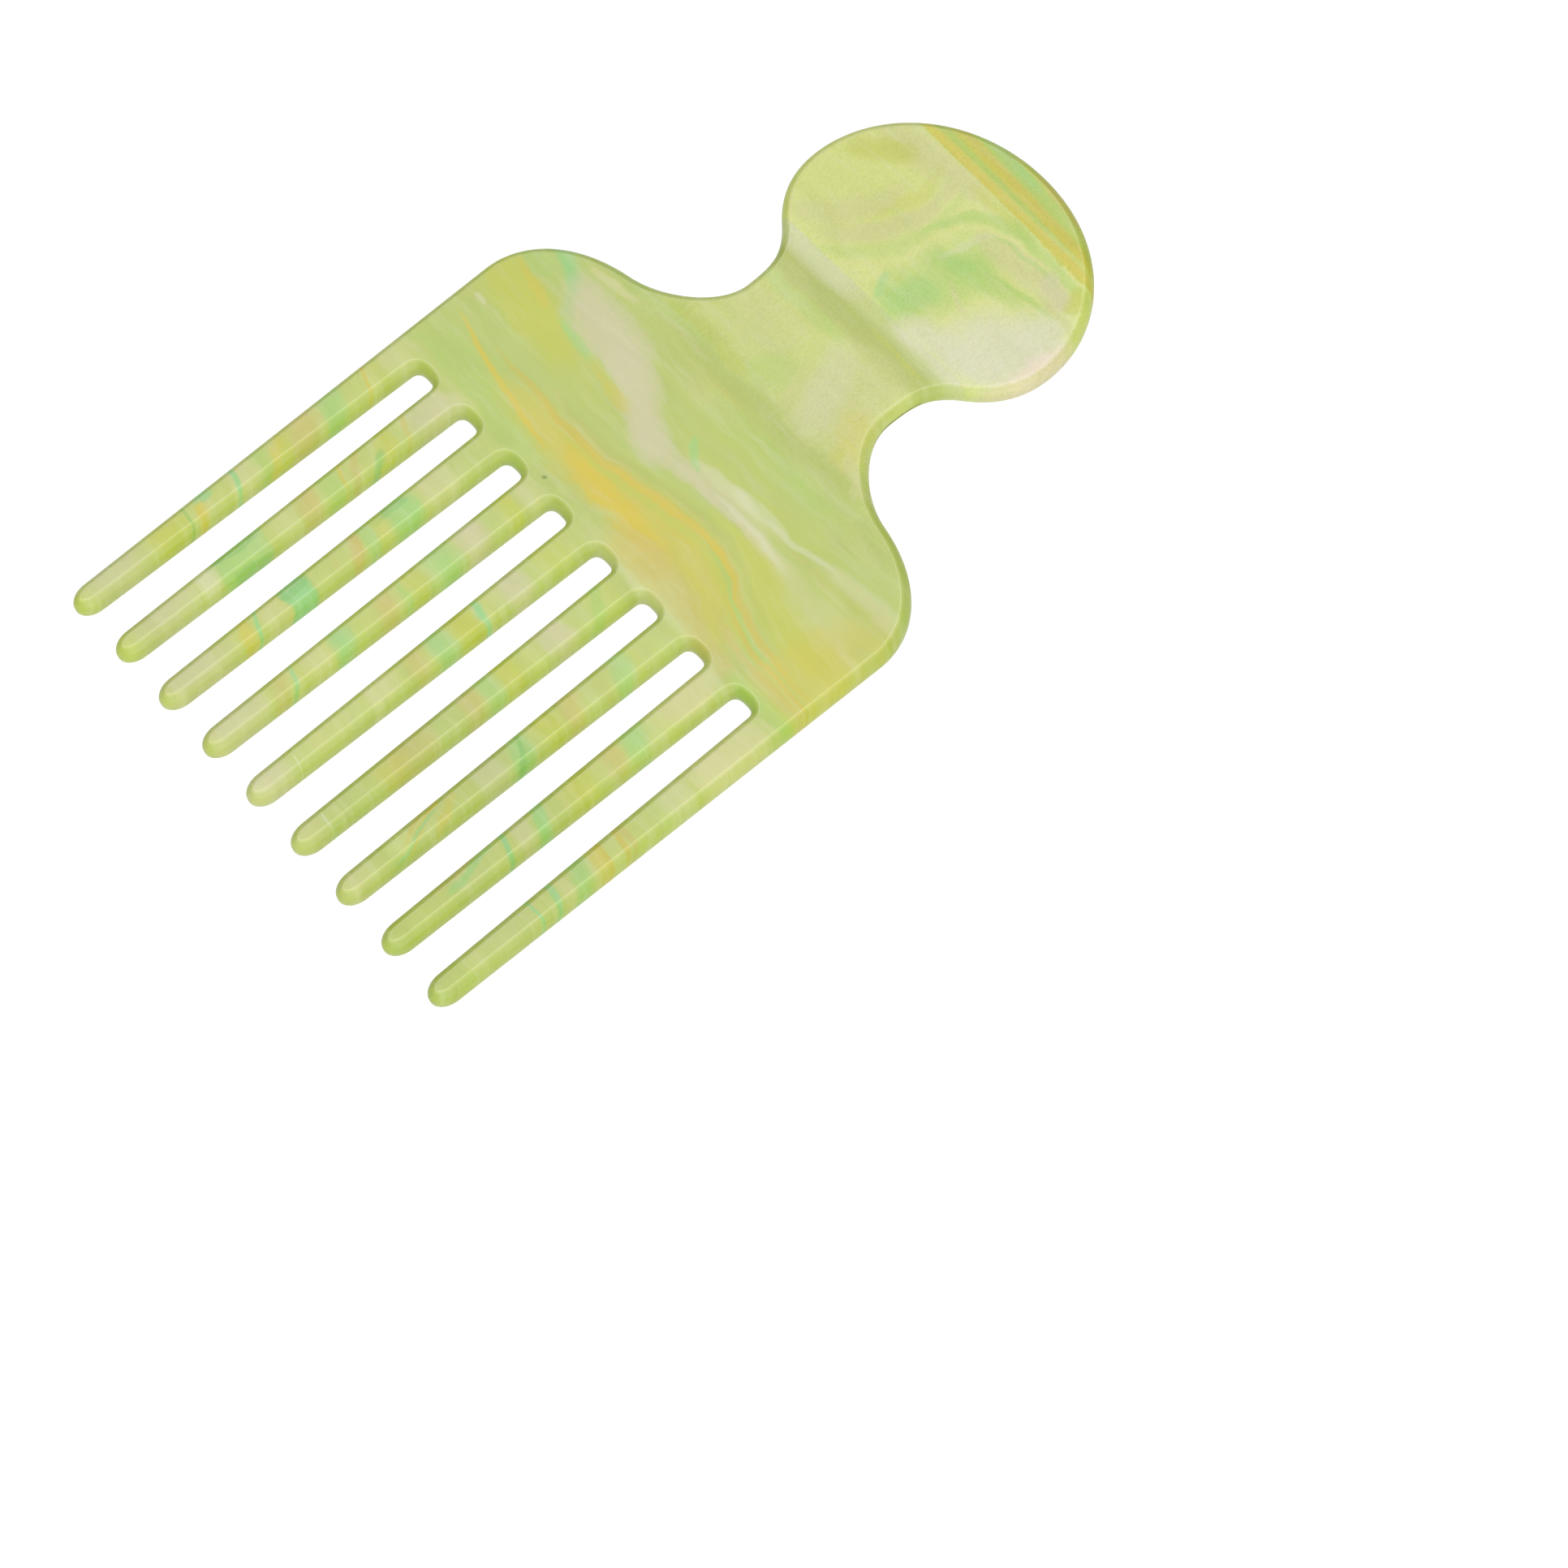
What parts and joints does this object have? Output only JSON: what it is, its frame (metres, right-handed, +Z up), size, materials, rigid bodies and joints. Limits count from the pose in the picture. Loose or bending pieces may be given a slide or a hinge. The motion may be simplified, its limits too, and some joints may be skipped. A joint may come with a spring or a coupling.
{
  "type": "hair comb",
  "caption": "Flat wide-tooth hair comb with tapered round-tipped teeth, rounded shoulders, a narrow scooped waist and an oval grip, in marbled yellow-green acetate.",
  "frame": {"origin": "middle of the comb's outline, on the flat underside it lies on", "axes": "+X across the row of teeth, +Y from the tips of the teeth to the grip, +Z up through the sheet to the face with the thumb scoop"},
  "size_m": [0.0906, 0.151, 0.0037],
  "materials": {
    "acetate": "translucent pearly yellow-green cellulose acetate with marbled streaks, polished, with fine wear scratches on the waist"
  },
  "bodies": {
    "root": {"tooth_1": "acetate", "tooth_2": "acetate", "tooth_3": "acetate", "tooth_4": "acetate", "tooth_5": "acetate", "tooth_6": "acetate", "tooth_7": "acetate", "tooth_8": "acetate", "tooth_9": "acetate", "spine": "acetate", "shoulders": "acetate", "waist": "acetate", "head": "acetate"}
  },
  "joints": []
}
